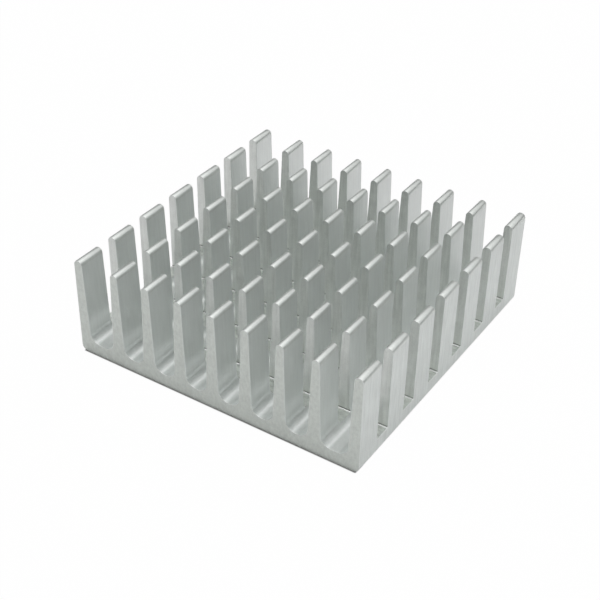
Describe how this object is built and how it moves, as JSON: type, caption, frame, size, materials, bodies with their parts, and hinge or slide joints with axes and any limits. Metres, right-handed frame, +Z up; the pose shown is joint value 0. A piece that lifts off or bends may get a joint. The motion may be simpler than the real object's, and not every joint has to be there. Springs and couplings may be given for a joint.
{
  "type": "extruded heat sink",
  "caption": "Small square heat sink: a thin base with tapered, round-tipped fins that saw slots cut across into rows of flat pins.",
  "frame": {"origin": "middle of the underside, on the plane that sits on the chip", "axes": "+Z up towards the fin tips, +Y along the extrusion, +X across the fins"},
  "size_m": [0.03, 0.03, 0.01],
  "materials": {
    "satin_aluminium": "satin as extruded, with fine extrusion lines, sawn ends and slots"
  },
  "bodies": {
    "root": {"heat_sink": "satin_aluminium"}
  },
  "joints": []
}
